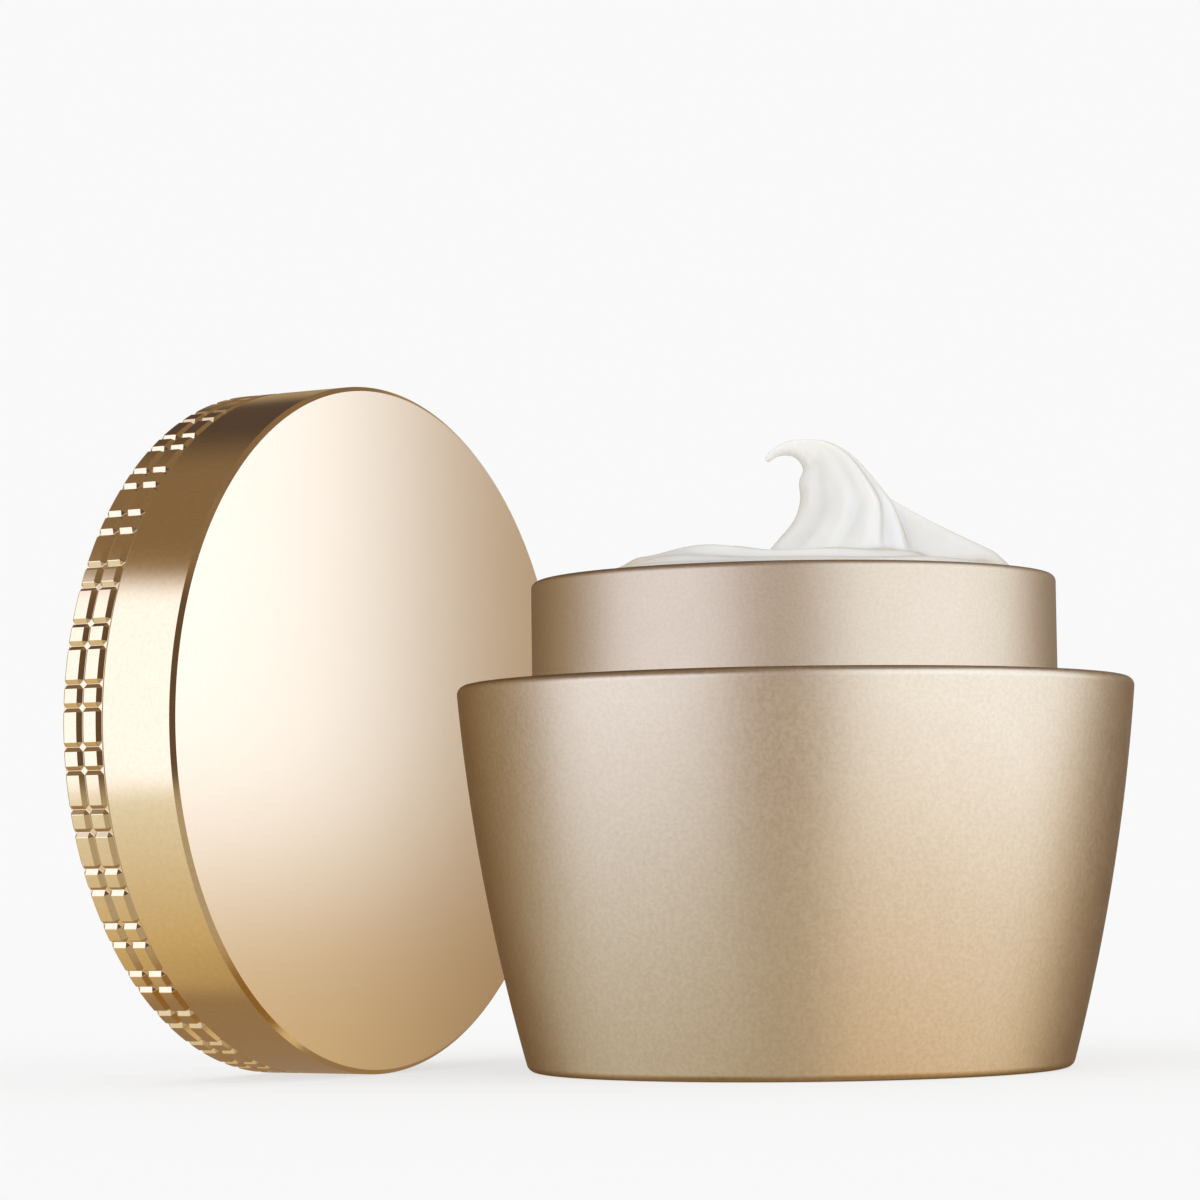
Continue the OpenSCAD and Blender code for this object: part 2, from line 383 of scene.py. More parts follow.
def cream_finish(name):
    """Whipped cream cosmetic: wet gloss over a scattering body, with faint drag lines."""
    finish, bench = new_finish(name)
    where = bench.add("ShaderNodeTexCoord", {}, (), "Object")
    soft = bench.noise(where, 1 / (4.5 * MM), 3.0, 0.5, 0.6)
    pull = bench.add("ShaderNodeMapping", {}, {"Vector": where, "Scale": (1.0, 1.0, 0.22)})
    drag = bench.noise(pull, 1 / (1.3 * MM), 2.0, 0.5, 0.5)
    tint = bench.mix(soft, colour(0.74, 0.745, 0.73), colour(0.81, 0.81, 0.80))
    matt = 0.17 + (drag - 0.5) * 0.12
    bump = bench.add("ShaderNodeBump", {}, {"Strength": 0.5, "Distance": 0.05 * MM,
                                            "Height": drag * 0.6 + soft * 0.4})
    close_finish(bench, {"Base Color": tint, "Roughness": matt.clipped(), "IOR": 1.7,
                         "Specular Tint": WARM_SHEEN,
                         "Subsurface Weight": 1.0, "Subsurface Scale": 2.2 * MM,
                         "Subsurface Radius": (1.0, 0.85, 0.7), "Normal": bump})
    return finish


def foam_finish(name):
    """Closed-cell foam wad: small cells under a thin skin."""
    finish, bench = new_finish(name)
    where = bench.add("ShaderNodeTexCoord", {}, (), "Object")
    cells = bench.add("ShaderNodeTexVoronoi", {}, {"Vector": where, "Scale": 1 / (0.35 * MM)})
    skin = bench.noise(where, 1 / (3 * MM), 3.0, 0.5)
    tint = bench.mix((cells * 0.6 + skin * 0.4).clipped(), colour(0.74, 0.74, 0.71),
                     colour(0.84, 0.84, 0.82))
    bump = bench.add("ShaderNodeBump", {}, {"Strength": 0.8, "Distance": 0.03 * MM,
                                            "Height": cells})
    close_finish(bench, {"Base Color": tint, "Roughness": (0.75 + skin * 0.15).clipped(),
                         "Normal": bump})
    return finish


SATIN_RIM = colour(0.26, 0.145, 0.065)
PLAIN_RIM = colour(1, 1, 1)
GOLD_DEEP, GOLD_PALE = colour(0.91, 0.70, 0.37), colour(0.97, 0.77, 0.43)

satin_gold = metal_finish(
    "satin_champagne_gold", colour(0.73, 0.59, 0.35), colour(0.87, 0.72, 0.45), SATIN_RIM,
    rough=0.40, spread=0.16, grain_size=0.42, grain_depth=0.011, sheen_size=14)
collar_gold = metal_finish(
    "satin_neck_gold", colour(0.70, 0.56, 0.33), colour(0.81, 0.66, 0.41), SATIN_RIM,
    rough=0.46, spread=0.12, grain_size=0.34, grain_depth=0.008, sheen_size=14)
band_gold = metal_finish(
    "polished_band_gold", GOLD_DEEP, GOLD_PALE, PLAIN_RIM,
    rough=0.14, spread=0.03, grain_size=0.5, grain_depth=0.0008, sheen_size=18)
pad_gold = metal_finish(
    "polished_pad_gold", GOLD_DEEP, GOLD_PALE, PLAIN_RIM,
    rough=0.14, spread=0.04, grain_size=0.4, grain_depth=0.0008, sheen_size=12)
face_gold = metal_finish(
    "satin_face_gold", colour(0.91, 0.715, 0.42), colour(0.96, 0.775, 0.48), PLAIN_RIM,
    rough=0.17, spread=0.04, grain_size=0.2, grain_depth=0.0015, sheen_size=22)
white_plastic = plastic_finish("moulded_white_plastic", colour(0.80, 0.79, 0.76),
                               colour(0.86, 0.855, 0.83), 0.38)
cream_body = cream_finish("whipped_cream")
foam = foam_finish("foam_wad")


# ---------------------------------------------------------------- the jar
taper = np.array((RIM_R - BASE_R, JAR_H))
chord = float(np.linalg.norm(taper))
side_r = (chord * chord / 4 + SIDE_BULGE ** 2) / (2 * SIDE_BULGE)
side_out = np.array((taper[1], -taper[0])) / chord
side_c = np.array((BASE_R, 0)) + taper / 2 - (side_r - SIDE_BULGE) * side_out


def touching(radius, z):
    """Centre of a rounding that touches the bowed side from inside, at this height."""
    run = math.sqrt((side_r - radius) ** 2 - (z - side_c[1]) ** 2)
    return (side_c[0] + run, z)


def bow_angle(point):
    return math.degrees(math.atan2(point[1] - side_c[1], point[0] - side_c[0]))


def bow_x(z, inset=0.0):
    return side_c[0] + math.sqrt((side_r - inset) ** 2 - (z - side_c[1]) ** 2)


def make_jar():
    foot_c = touching(FOOT_ROUND, FOOT_ROUND)
    rim_c = touching(RIM_ROUND, JAR_H - RIM_ROUND)
    foot_a, rim_a = bow_angle(foot_c), bow_angle(rim_c)
    hole_r = COLLAR_R - COLLAR_WALL + DROP_IN
    pocket_r = PLATE_R + DROP_IN
    outline = arc(foot_c, FOOT_ROUND, -90, foot_a, 10)
    outline += arc(side_c, side_r, foot_a, rim_a, 40)[1:-1]
    outline += arc(rim_c, RIM_ROUND, rim_a, 90, 12)
    inside = [(hole_r, JAR_H, FINE), (hole_r, JAR_H - DECK_T, FINE)]
    inner_top, inner_low = JAR_H - DECK_T, PLATE_T
    steps = 12
    for k in range(steps + 1):
        z = inner_top + (inner_low - inner_top) * k / steps
        inside.append((bow_x(z, JAR_WALL), z, 0))
    inside += [(pocket_r, PLATE_T, FINE), (pocket_r, 0, FINE)]
    bends = rounded([(bow_x(JAR_H - 1), JAR_H, 0)] + inside + [(foot_c[0], 0, 0)])
    outline += bends[1:-1]
    jar = spun("jar_shell", outline, sides=SHELL_SIDES)
    jar.data.materials.append(satin_gold)
    return stands_for(jar, "jar", "satin_gold", "outer_jar")


def make_collar():
    lip_r = COLLAR_R - COLLAR_WALL - LIP_T
    cup_side = COLLAR_R - COLLAR_WALL
    under = COLLAR_TOP - LIP_T
    outline = rounded([
        (CUP_R, JAR_H, FINE), (COLLAR_R, JAR_H, FINE),
        (COLLAR_R, COLLAR_TOP, LIP_ROUND), (lip_r, COLLAR_TOP, 0.2),
        (lip_r, under, 0.1), (cup_side, under, FINE),
        (cup_side, JAR_H + FLANGE_T, FINE), (CUP_R, JAR_H + FLANGE_T, FINE)], 8)
    collar = spun("neck_collar", outline, sides=SHELL_SIDES)
    collar.data.materials.append(collar_gold)
    return stands_for(collar, "jar", "satin_gold", "collar")


def make_cup():
    wall = COLLAR_R - COLLAR_WALL
    inner = wall - CUP_WALL
    top = COLLAR_TOP - LIP_T
    floor_z = CUP_BOTTOM + CUP_FLOOR
    outline = rounded([
        (0, CUP_BOTTOM, 0), (wall, CUP_BOTTOM, 0.8), (wall, JAR_H, 0.02),
        (CUP_R, JAR_H, 0.05), (CUP_R, JAR_H + FLANGE_T, 0.1),
        (wall, JAR_H + FLANGE_T, 0.02), (wall, top, 0.15), (inner, top, 0.2),
        (inner, floor_z, 0.05), (0, floor_z, 0)])
    cup = spun("inner_cup_moulding", outline, sides=MOULD_SIDES)
    cup.data.materials.append(white_plastic)
    return stands_for(cup, "jar", "white_plastic", "inner_cup")


def make_base():
    """The base plate, with a moulded step, two shallow rings and a gate mark below."""
    gate, sunk, line, edge = 0.35, 0.12, 0.25, 0.1
    below = [(0, gate, 0), (1.4, gate, edge), (1.9, sunk, edge)]
    for r in (9.6, 17.6):
        below += [(r - 0.6, sunk, edge), (r - 0.3, line, edge), (r + 0.3, line, edge),
                  (r + 0.6, sunk, edge)]
    outline = rounded(below + [
        (20.6, sunk, edge), (20.8, 0.0, 0.06), (PLATE_R, 0.0, 0.2), (PLATE_R, PLATE_T, edge),
        (0, PLATE_T, 0)])
    plate = spun("base_plate_moulding", outline, sides=MOULD_SIDES)
    plate.data.materials.append(white_plastic)
    return stands_for(plate, "jar", "white_plastic", "base_plate")


# ---------------------------------------------------------------- the cream
def make_fill():
    """The level cream: it dips a little towards the cup."""
    dip, brim, steps = 0.25, 1.4, 24
    top = []
    for k in range(steps):
        r = CREAM_R * (1 - k / steps)
        edge = max(0.0, (r - CREAM_R + brim) / brim)
        top.append((r, CREAM_Z - dip * edge ** 2, 0))
    outline = rounded([(0, CREAM_BOTTOM, 0), (CREAM_R, CREAM_BOTTOM, 0.05)] + top
                      + [(0, CREAM_Z, 0)])
    fill = spun("cream_level", outline, sides=MOULD_SIDES)
    fill.data.materials.append(cream_body)
    return stands_for(fill, "jar", "cream", "cream_fill")


def eased(value, low, high):
    t = np.clip((value - low) / (high - low), 0, 1)
    return t * t * (3 - 2 * t)


def mound_height(x, y):
    """Height of the low whirl of cream and of the long tail that the peak draws out."""
    spread = 24.6
    r = np.hypot(x, y)
    a = np.arctan2(y, x)
    whirl = np.cos(a + r * 0.62 - 0.6)
    edge = 1 - np.clip(r / spread, 0, 1) ** 5
    swept = np.cos(a * 2 + r * 1.9 + 1.1 * np.sin(a - 0.7))
    lump = 1.0 * np.exp(-((x + 13.5) / 5.0) ** 2 - ((y - 5.0) / 8.0) ** 2)
    wavy = np.cos(3 * a + 0.4) + 0.7 * np.cos(5 * a - 1.3) + 0.5 * np.cos(8 * a + 0.31 * r)
    low = 2.85 + (0.5 * whirl + 0.16 * swept + 0.26 * wavy) * eased(r, 3.0, 9.0) + lump
    low = low * np.clip(edge, 0, 1)
    along = np.clip((x - 2.0) / 21.5, 0, 1)
    ridge_y = -1.2 + 4.0 * along ** 1.3 - 3.4 * along ** 3
    ridge_h = 10.0 * (1 - along) ** 1.6 + 5.0 * (1 - along) ** 0.2
    width = 2.6 + 3.2 * along
    side = (y - ridge_y) / np.where(y > ridge_y, width * 1.5, width)
    tail = ridge_h / (1 + side ** 2 * (1 + 0.25 * ridge_h / width)) ** 1.2
    tail = tail * eased(x, 0.0, 5.0) * np.clip(1.15 - (r / spread) ** 12, 0, 1)
    front = 7.4 * np.exp(-(((x - 6.2) / 4.6) ** 2 + ((y + 3.4) / 4.0) ** 2) ** 0.95)
    return low, tail, front


def whirl_base():
    """Closed body of the low whirl, as a mesh of rings."""
    rings, spokes, edge_r = 72, 200, 24.1
    points, faces = [], []
    points.append((0.0, 0.0, 0.0))
    for k in range(1, rings + 1):
        for i in range(spokes):
            a, r = TURN * i / spokes, edge_r * k / rings
            points.append((r * math.cos(a), r * math.sin(a), 0.0))
    points = np.array(points)
    low, tail, front = mound_height(points[:, 0], points[:, 1])
    parts = np.stack([low, tail, front])
    keen, lift, least = 2.2, 0.03, 0.3
    top = np.log(np.exp(keen * parts).sum(0)) / keen - math.log(3) / keen * 0.6
    r = np.hypot(points[:, 0], points[:, 1])
    rolled = np.sqrt(np.clip(1 - (r / edge_r) ** 14, 0, 1))
    points[:, 2] = CREAM_Z + lift + np.maximum(top, least) * rolled
    for i in range(spokes):
        faces.append((0, 1 + i, 1 + (i + 1) % spokes))
    for k in range(rings - 1):
        a, b = 1 + k * spokes, 1 + (k + 1) * spokes
        for i in range(spokes):
            j = (i + 1) % spokes
            faces.append((a + i, b + i, b + j, a + j))
    last = 1 + (rings - 1) * spokes
    faces.append(tuple(last + i for i in reversed(range(spokes))))
    return points, faces


# spine of the curled peak: x, y, height above the cream's level, half width, depth share
PEAK = [
    (4.6, -2.6, 0.0, 9.0, 0.72), (4.7, -2.6, 2.0, 8.1, 0.72), (5.1, -2.5, 4.0, 6.9, 0.74),
    (5.7, -2.3, 6.4, 5.5, 0.78), (5.6, -2.0, 8.5, 4.7, 0.8), (4.7, -1.8, 10.5, 3.9, 0.8),
    (3.8, -1.6, 12.0, 3.1, 0.8), (2.7, -1.5, 13.1, 2.2, 0.8), (1.5, -1.5, 13.75, 1.4, 0.85),
    (0.4, -1.5, 14.05, 0.95, 0.95), (-0.7, -1.5, 13.95, 0.7, 1.0), (-1.6, -1.55, 13.6, 0.5, 1.0),
    (-2.15, -1.6, 13.15, 0.42, 1.0), (-2.5, -1.6, 12.75, 0.32, 1.0)]


# folds that wind round the peak: where each starts, in radians, its depth and its width
FOLDS = [(-0.95, 0.17, 0.24), (-1.75, 0.13, 0.20), (-2.55, 0.14, 0.24), (1.9, 0.14, 0.4)]


def drawn_through(rows, steps):
    """A smooth run through rows of numbers, with points between them."""
    rows = np.array(rows, float)
    found = []
    for k in range(len(rows) - 1):
        p0, p1 = rows[max(k - 1, 0)], rows[k]
        p2, p3 = rows[k + 1], rows[min(k + 2, len(rows) - 1)]
        for j in range(steps):
            t = j / steps
            found.append(0.5 * ((2 * p1) + (p2 - p0) * t + (2 * p0 - 5 * p1 + 4 * p2 - p3) * t ** 2
                                + (3 * p1 - p0 - 3 * p2 + p3) * t ** 3))
    found.append(rows[-1])
    return np.array(found)


def peak_horn():
    """Closed body of the peak: a horn with folds that wind round it."""
    rows = drawn_through(PEAK, 6)
    spokes, lift = 96, 0.05
    centre = rows[:, :3]
    ahead = np.gradient(centre, axis=0)
    ahead /= np.linalg.norm(ahead, axis=1)[:, None]
    points, faces = [], []
    count = len(rows)
    for k, row in enumerate(rows):
        t = k / (count - 1)
        tilt = math.atan2(ahead[k][0], ahead[k][2]) * float(eased(t, 0.3, 0.6))
        e1 = np.array((math.cos(tilt), 0, -math.sin(tilt)))
        e2 = np.array((0.0, 1.0, 0.0))
        for i in range(spokes):
            a = TURN * i / spokes
            fold = 0.0
            for start, deep, wide in FOLDS:
                off = (a - start - 1.5 * t + math.pi) % TURN - math.pi
                fold += deep * math.exp(-(off / wide) ** 2)
            r = row[3] * (1 - fold * float(eased(t, 0.02, 0.2)) * (1 - 0.6 * t))
            p = centre[k] + e1 * r * math.cos(a) + e2 * r * row[4] * math.sin(a)
            points.append((p[0], p[1], max(p[2], 0.0) + CREAM_Z + lift))
    for k in range(count - 1):
        a, b = k * spokes, (k + 1) * spokes
        for i in range(spokes):
            j = (i + 1) % spokes
            faces.append((a + i, a + j, b + j, b + i))
    faces.append(tuple(reversed(range(spokes))))
    faces.append(tuple((count - 1) * spokes + i for i in range(spokes)))
    return points, faces


def applied(piece):
    """Replaces a piece's mesh with what its modifiers make of it."""
    seen = piece.evaluated_get(bpy.context.evaluated_depsgraph_get())
    mesh = bpy.data.meshes.new_from_object(seen)
    piece.modifiers.clear()
    piece.data = mesh


def ease_edges(piece, width, segments):
    """Rounds a piece's edges a little, in millimetres."""
    ease = piece.modifiers.new("ease", "BEVEL")
    ease.width, ease.segments, ease.harden_normals = width * MM, segments, True
    return ease


def make_swirl():
    mesh_step, foot_z = 0.16, CREAM_Z + 0.01
    base_points, base_faces = whirl_base()
    horn_points, horn_faces = peak_horn()
    shift = len(base_points)
    points = list(map(tuple, base_points)) + [tuple(p) for p in horn_points]
    faces = list(base_faces) + [tuple(i + shift for i in f) for f in horn_faces]
    swirl = finish_mesh("cream_whirl", points, faces)
    remesh = swirl.modifiers.new("merge", "REMESH")
    remesh.mode, remesh.voxel_size, remesh.use_smooth_shade = "VOXEL", mesh_step * MM, True
    soften = swirl.modifiers.new("soften", "SMOOTH")
    soften.factor, soften.iterations = 0.5, 8
    applied(swirl)
    mesh = swirl.data
    co = np.zeros(len(mesh.vertices) * 3)
    mesh.vertices.foreach_get("co", co)
    co = co.reshape(-1, 3)
    co[:, 2] = np.maximum(co[:, 2], foot_z * MM)
    mesh.vertices.foreach_set("co", co.ravel())
    mesh.polygons.foreach_set("use_smooth", [True] * len(mesh.polygons))
    mesh.update()
    swirl.data.materials.clear()
    swirl.data.materials.append(cream_body)
    stands_for(swirl, "jar", "cream", "cream_swirl")
    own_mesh(swirl)
    return swirl


# ---------------------------------------------------------------- the lid
RING_H = RING_BEVEL + PAD_ROWS * (PAD_W + 2 * GROOVE)
INNER_R = LID_R - LID_WALL
SKIRT_R = LID_R - RING_T
TOP_Z = LID_H - LID_TOP_T
WEB_Z = TOP_Z - CAP_T


def make_shell():
    edge = 0.05
    outline = rounded([
        (INNER_R, MOUTH_INSET, edge), (SKIRT_R, MOUTH_INSET, edge), (SKIRT_R, RING_H, edge),
        (LID_R, RING_H, edge), (LID_R, LID_H - FACE_BEVEL, 0.08), (LID_R - FACE_BEVEL, LID_H, 0.08),
        (0, LID_H, 0), (0, TOP_Z, 0), (INNER_R, TOP_Z, edge)], 4)
    shell = spun("lid_shell_spun", outline, lid_place, sides=SHELL_SIDES)
    shell.data.materials.append(band_gold)
    shell.data.materials.append(face_gold)
    away = np.array(mouth) + np.array(face_n) * (LID_H - 0.02) * MM
    for face in shell.data.polygons:
        if (np.array(face.center) - away) @ np.array(face_n) > 0:
            face.material_index = 1
    return stands_for(shell, "lid", "polished_gold", "lid_shell")


def make_ring():
    """The grip ring: rows of long and short pads parted by V grooves, every edge eased."""
    pair = TURN / PAD_PAIRS
    short = SHORT_SHARE * pair
    half = GROOVE / LID_R
    angles = []
    for k in range(PAD_PAIRS):
        mid = math.radians(RING_TURN) + k * pair
        for start, span, steps in ((mid - short / 2, short, 4), (mid + short / 2, pair - short, 7)):
            angles.append((start, GROOVE))
            for j in range(steps + 1):
                angles.append((start + half + (span - 2 * half) * j / steps, 0.0))
    pitch = PAD_W + 2 * GROOVE
    levels = [(0.0, RING_BEVEL), (RING_BEVEL, 0.0)]
    for row in range(PAD_ROWS):
        z = RING_BEVEL + row * pitch + PAD_W
        levels += [(z, 0.0), (z + GROOVE, GROOVE), (z + 2 * GROOVE, 0.0)]
    last_groove = RING_H - GROOVE
    rows = [[(SKIRT_R, z) for _ in angles] for z in (RING_H, 0.0)]
    for z, cut in levels:
        rows.append([(LID_R - max(cut, deep if z <= last_groove + TINY else 0.0), z)
                     for _, deep in angles])
    points = [(r * math.cos(a), r * math.sin(a), z)
              for row in rows for (r, z), (a, _) in zip(row, angles)]
    count = len(angles)
    flat = 1e-4
    faces = []
    for k in range(len(rows)):
        low, high = k * count, ((k + 1) % len(rows)) * count
        for i in range(count):
            j = (i + 1) % count
            quad = (low + i, low + j, high + j, high + i)
            p = [points[q] for q in quad]
            r = [math.hypot(q[0], q[1]) for q in p]
            if k >= 2 and abs(r[0] + r[2] - r[1] - r[3]) > flat:
                if r[0] + r[2] < r[1] + r[3]:
                    faces += [(quad[0], quad[1], quad[2]), (quad[0], quad[2], quad[3])]
                else:
                    faces += [(quad[0], quad[1], quad[3]), (quad[1], quad[2], quad[3])]
            else:
                faces.append(quad)
    ring = finish_mesh("grip_ring_pads", points, faces, place=lid_place)
    ease = ease_edges(ring, 0.05, 2)
    ease.limit_method, ease.angle_limit = "ANGLE", math.radians(18)
    applied(ring)
    ring.data.materials.append(pad_gold)
    return stands_for(ring, "lid", "polished_gold", "grip_ring")


def slab(low, high, turn=0.0):
    """Points and faces of a rib as a plain block, turned about the lid's axis."""
    c, s = math.cos(turn), math.sin(turn)
    points = []
    for z in (low[2], high[2]):
        for x, y in ((low[0], low[1]), (high[0], low[1]), (high[0], high[1]), (low[0], high[1])):
            points.append((c * x - s * y, s * x + c * y, z))
    faces = [(3, 2, 1, 0), (4, 5, 6, 7), (0, 1, 5, 4), (1, 2, 6, 5), (2, 3, 7, 6), (3, 0, 4, 7)]
    return points, faces


def joined(name, pieces):
    bpy.ops.object.select_all(action="DESELECT")
    for piece in pieces:
        piece.select_set(True)
    bpy.context.view_layer.objects.active = pieces[0]
    bpy.ops.object.join()
    pieces[0].name = name
    return pieces[0]


def make_cap():
    r0, r1 = SLEEVE_R, SLEEVE_R + SLEEVE_T
    wall = INNER_R - CAP_T
    rim = 0.12
    outline = rounded([
        (0, WEB_Z, 0), (r0, WEB_Z, 0.15), (r0, MOUTH_INSET, 0.3), (r1, MOUTH_INSET, 0.3),
        (r1, WEB_Z, 0.3), (wall, WEB_Z, 0.2), (wall, MOUTH_INSET, rim), (INNER_R, MOUTH_INSET, rim),
        (INNER_R, TOP_Z, FINE), (0, TOP_Z, 0)])
    body = spun("inner_cap_moulding", outline, lid_place, sides=CAP_SIDES)
    body.data.materials.append(white_plastic)
    ribs = []
    for k in range(RIB_COUNT):
        low = (SLEEVE_R + SLEEVE_T / 2, -RIB_T / 2, RING_H)
        high = (INNER_R - CAP_T / 2, RIB_T / 2, WEB_Z + CAP_T / 2)
        points, faces = slab(low, high, TURN * k / RIB_COUNT)
        rib = finish_mesh("rib", points, faces, place=lid_place)
        ease_edges(rib, 0.12, 2)
        applied(rib)
        rib.data.materials.append(white_plastic)
        ribs.append(rib)
    cap = joined("inner_cap_moulding", [body] + ribs)
    return stands_for(cap, "lid", "white_plastic", "inner_cap")


def make_liner():
    z = WEB_Z - LINER_T
    outline = rounded([(0, z, 0), (DISC_R, z, 0.12), (DISC_R, WEB_Z, 0.12), (0, WEB_Z, 0)])
    liner = spun("foam_liner", outline, lid_place, sides=MOULD_SIDES)
    liner.data.materials.append(foam)
    return stands_for(liner, "lid", "foam", "liner")


def make_disc():
    """The loose sealing disc: flat below with two hairline rings, its tab on the web above."""
    low, top, web = DISC_INSET, DISC_INSET + DISC_T, DISC_INSET + DISC_WEB
    line = 0.08
    below = [(0, low + line, 0), (0.9, low + line, 0.04), (1.1, low, 0.04)]
    for r in (12.0, DISC_R - DISC_RIM_W):
        below += [(r - 0.35, low, 0.04), (r - 0.2, low + line, 0.04), (r + 0.2, low + line, 0.04),
                  (r + 0.35, low, 0.04)]
    inner = DISC_R - DISC_RIM_W
    outline = rounded(below + [
        (DISC_R, low, 0.18), (DISC_R, top, 0.18), (inner, top, 0.12), (inner, web, 0.1),
        (0, web, 0)])
    disc = spun("sealing_disc_moulding", outline, lid_place, sides=CAP_SIDES)
    disc.data.materials.append(white_plastic)
    points, faces = slab((0.0, -TAB_L / 4, low + DISC_WEB / 2), (TAB_L, TAB_L / 4, top))
    tab = finish_mesh("tab", points, faces, place=lid_place)
    ease_edges(tab, 0.15, 3)
    applied(tab)
    tab.data.materials.append(white_plastic)
    disc = joined("sealing_disc_moulding", [disc, tab])
    return stands_for(disc, "disc", "white_plastic", "sealing_disc")


jar_pieces = [make_jar(), make_collar(), make_cup(), make_base(), make_fill(), make_swirl()]
lid_pieces = [make_shell(), make_ring(), make_cap(), make_liner(), make_disc()]

# ---------------------------------------------------------------- the studio
scene = bpy.context.scene
scene.view_settings.view_transform = "Standard"
scene.view_settings.look = "None"

PAPER = 0.948      # brightness of the plain background


def make_world():
    world = bpy.data.worlds.new("studio")
    scene.world = world
    world.use_nodes = True
    bench = Bench(world.node_tree)
    light = bench.add("ShaderNodeBackground", {}, (colour(PAPER, PAPER, PAPER), 1.0))
    bench.add("ShaderNodeOutputWorld", {}, {"Surface": light})
    world.cycles_visibility.glossy = False


def make_floor():
    """A plain pale table."""
    sides, reach, sunk = 96, 3.0, 0.00002
    points = [(0, 0, -sunk)] + [(reach * math.cos(TURN * k / sides),
                                 reach * math.sin(TURN * k / sides), -sunk) for k in range(sides)]
    faces = [(0, 1 + k, 1 + (k + 1) % sides) for k in range(sides)]
    mesh = bpy.data.meshes.new("table")
    mesh.from_pydata(points, [], faces)
    table = new_object("table", mesh)
    finish, bench = new_finish("pale_table")
    where = bench.add("ShaderNodeTexCoord", {}, (), "Object")
    grain = bench.noise(where, 60.0, 3.0)
    tint = bench.mix(grain, colour(0.798, 0.798, 0.798), colour(0.802, 0.802, 0.802))
    paint = bench.add("ShaderNodeBsdfDiffuse", {}, {"Color": tint})
    glow = bench.add("ShaderNodeEmission", {}, {"Color": colour(PAPER, PAPER, PAPER)})
    both = bench.add("ShaderNodeMixShader", {}, {0: 0.7, 1: paint, 2: glow})
    bench.add("ShaderNodeOutputMaterial", {}, {"Surface": both})
    table.data.materials.append(finish)
    table.visible_glossy = False


# light of the tents; the soft boxes are brighter than 1
LEFT_BOX, RIGHT_BOX = colour(1.2, 1.33, 2.05), colour(1.27, 1.46, 2.15)
SIDE_LOW, FRONT_LOW = colour(0.31, 0.22, 0.15), colour(0.45, 0.40, 0.36)
SIDE_HIGH, ROOF = colour(0.38, 0.28, 0.17), colour(0.24, 0.17, 0.12)
FAR_RIGHT_TABLE, BACK_CORNER = colour(0.68, 0.56, 0.42), colour(0.09, 0.065, 0.06)
TABLE_STOPS = [(0.05, colour(0.24, 0.15, 0.06)), (0.30, colour(0.60, 0.48, 0.31)),
               (0.80, colour(0.80, 0.82, 0.92))]
RIGHT_TABLE_TINT = (1.12, 0.98, 0.86)


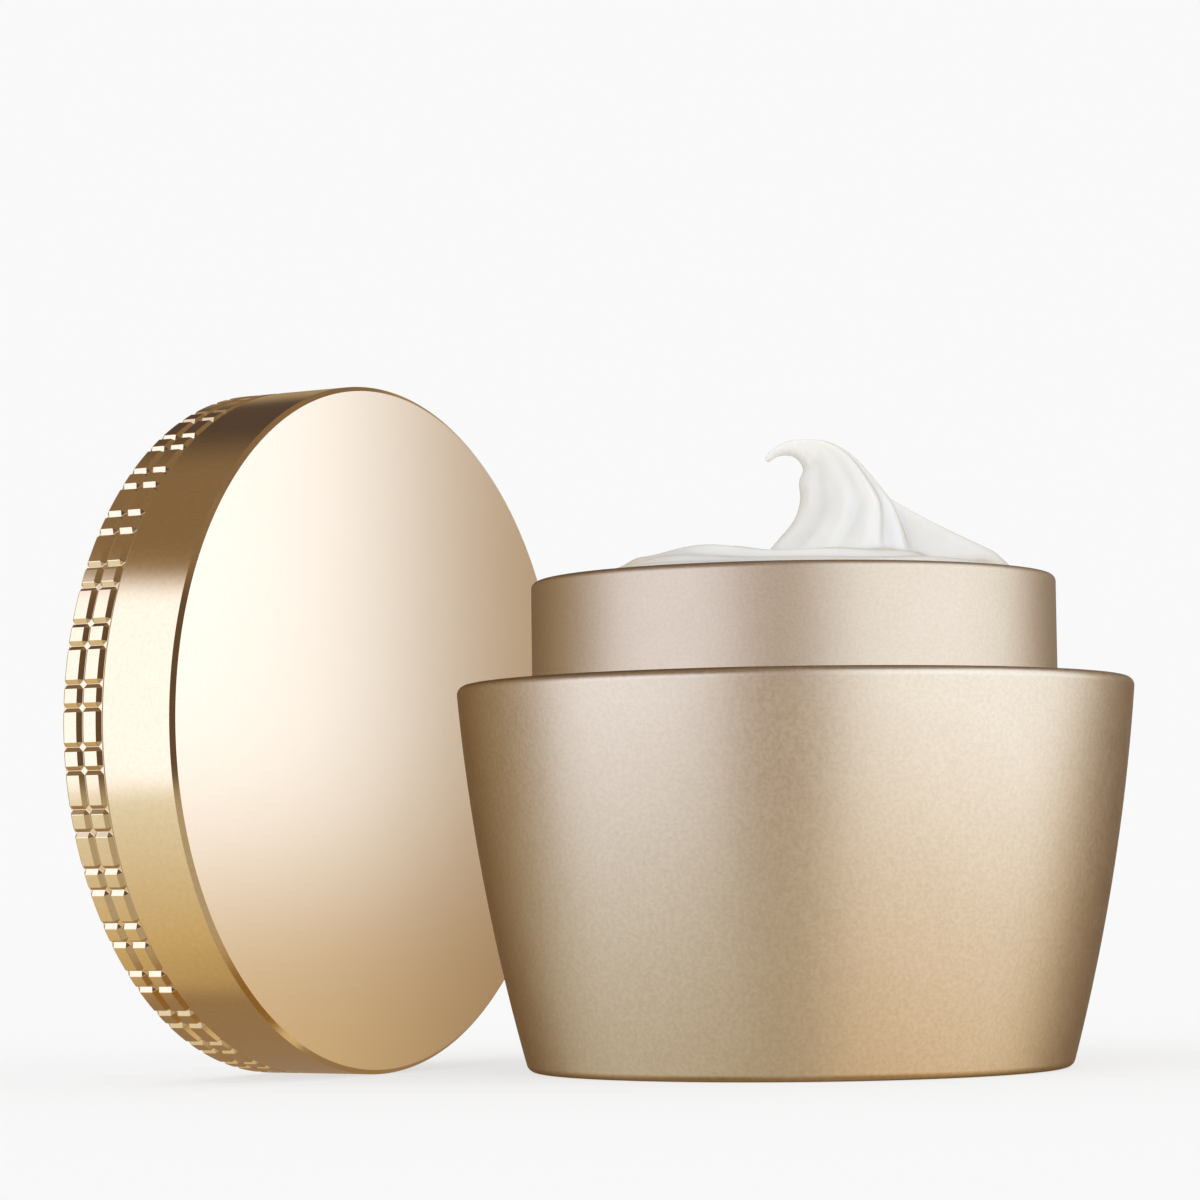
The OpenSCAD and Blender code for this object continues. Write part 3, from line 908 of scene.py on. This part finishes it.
def make_tent(name, lit, reach, left_end, right_start, right_end, edge, gap, table_glow):
    """A light tent that only these pieces mirror: a soft box on each side, dim elsewhere.

    Bearings are in degrees, 0 towards the front and positive to the right; gap is the colour
    between the boxes, and table_glow is the share of light that comes up from the table.
    """
    mesh = bpy.data.meshes.new(name)
    shell = bmesh.new()
    bmesh.ops.create_icosphere(shell, subdivisions=4, radius=reach)
    shell.to_mesh(mesh)
    shell.free()
    tent = new_object(name, mesh)
    finish, bench = new_finish(name + "_glow")
    where = bench.add("ShaderNodeTexCoord", {}, (), "Object")
    split = bench.add("ShaderNodeSeparateXYZ", {}, (where,))
    x, y, z = (Wire(bench, split.socket.node.outputs[k]) for k in range(3))
    bearing = x.calc("ARCTAN2", -y)              # 0 towards the front, positive to the right
    flat = (x * x + y * y).calc("SQRT")
    rise = z.calc("ARCTAN2", flat)

    deg = math.radians

    def window(value, low, high, soft_low, soft_high):
        return (bench.step(value, deg(low - soft_low), deg(low + soft_low))
                * (1 - bench.step(value, deg(high - soft_high), deg(high + soft_high))))

    left = window(bearing, left_end, -20, 7, 6)
    right = window(bearing, right_start, right_end, 6, edge)
    front = window(bearing, -45, 45, 20, 20)
    lift = bench.step(bearing, deg(90), deg(106), 0.0, deg(12))
    above = bench.step(rise - lift, deg(-13), deg(-5))
    height = bench.add("ShaderNodeMapRange", {}, {"Value": rise, "From Min": deg(-62),
                                                  "From Max": deg(0)})
    left_table = bench.add("ShaderNodeValToRGB", {"stops": TABLE_STOPS}, (height,))
    right_table = bench.add("ShaderNodeVectorMath", {"operation": "MULTIPLY"},
                            (left_table, RIGHT_TABLE_TINT))
    low = bench.mix(front, SIDE_LOW, FRONT_LOW)
    right_table = bench.mix(bench.step(bearing, deg(88), deg(104)), right_table,
                            FAR_RIGHT_TABLE)
    left_low = window(bearing, left_end - 26, -20, 8, 6)
    dimmed = bench.add("ShaderNodeVectorMath", {"operation": "SCALE"},
                       {0: left_table, "Scale": table_glow})
    low = bench.mix(right, bench.mix(left_low, low, dimmed), right_table)
    high = bench.mix(front, SIDE_HIGH, gap)
    high = bench.mix(bench.step(rise, deg(35), deg(45)), high, ROOF)
    overhead = bench.step(-bearing, deg(112), deg(145)) * bench.step(rise, deg(28), deg(38))
    high = bench.mix(overhead, high, BACK_CORNER)
    soft_left = left * (1 - bench.step(rise, deg(33), deg(41)))
    soft_right = right * (1 - bench.step(rise, deg(50), deg(62)))
    high = bench.mix(soft_left, high, LEFT_BOX)
    high = bench.mix(soft_right, high, RIGHT_BOX)
    bright = bench.add("ShaderNodeEmission", {}, {"Color": bench.mix(above, low, high)})
    clear = bench.add("ShaderNodeBsdfTransparent", {}, {"Color": colour(1, 1, 1)})
    both = bench.add("ShaderNodeAddShader", {}, (bright, clear))
    bench.add("ShaderNodeOutputMaterial", {}, {"Surface": both})
    tent.data.materials.append(finish)
    tent.visible_camera = False
    tent.visible_diffuse = False
    tent.visible_transmission = False
    tent.visible_volume_scatter = False
    tent.visible_shadow = False
    mirrors = bpy.data.collections.new(name + "_mirrors")
    for piece in lit:
        mirrors.objects.link(piece)
    tent.light_linking.receiver_collection = mirrors


def make_lamp(name, bearing, rise, strength, spread):
    """A far soft lamp, its strength in watts per square metre and its angles in degrees."""
    data = bpy.data.lights.new(name, "SUN")
    data.energy, data.angle = strength, math.radians(spread)
    lamp = new_object(name, data)
    a, e = math.radians(bearing), math.radians(rise)
    towards = Vector((math.sin(a) * math.cos(e), -math.cos(a) * math.cos(e), math.sin(e)))
    lamp.rotation_mode = "QUATERNION"
    lamp.rotation_quaternion = towards.to_track_quat("Z", "Y")
    lamp.location = towards
    lamp.visible_glossy = False


def make_camera():
    place = Vector((1.36, -411.04, 20.18)) * MM
    yaw, pitch, roll = 0.0521, 0.0693, -0.0128
    ahead = Vector((-math.sin(yaw) * math.cos(pitch), math.cos(yaw) * math.cos(pitch),
                    math.sin(pitch)))
    right = Vector((math.cos(yaw), math.sin(yaw), 0))
    up = right.cross(ahead)
    across = right * math.cos(roll) + up * math.sin(roll)
    upward = up * math.cos(roll) - right * math.sin(roll)
    data = bpy.data.cameras.new("camera")
    data.lens, data.sensor_width = 118.7, 36.0
    data.clip_start, data.clip_end = 0.01, 20.0
    camera = new_object("camera", data)
    turned = Matrix((across, upward, -ahead)).transposed().to_4x4()
    turned.translation = place
    camera.matrix_world = turned
    scene.camera = camera


def light_apart(*pieces):
    """The jar and the lid are lit as if each stood alone: neither mirrors these pieces."""
    for piece in pieces:
        piece.visible_glossy = False


make_world()
make_floor()
make_tent("jar_tent", jar_pieces, reach=0.42, left_end=-87, right_start=12, right_end=113,
          edge=6, gap=colour(0.34, 0.225, 0.14), table_glow=0.8)
make_tent("lid_tent", lid_pieces, reach=0.43, left_end=-91, right_start=38, right_end=120.5,
          edge=2.5, gap=colour(0.12, 0.08, 0.06), table_glow=1.0)
light_apart(*jar_pieces, *lid_pieces)
make_lamp("high_left_lamp", bearing=-50, rise=48, strength=0.55, spread=50)
make_lamp("high_right_lamp", bearing=60, rise=40, strength=0.45, spread=50)
make_camera()
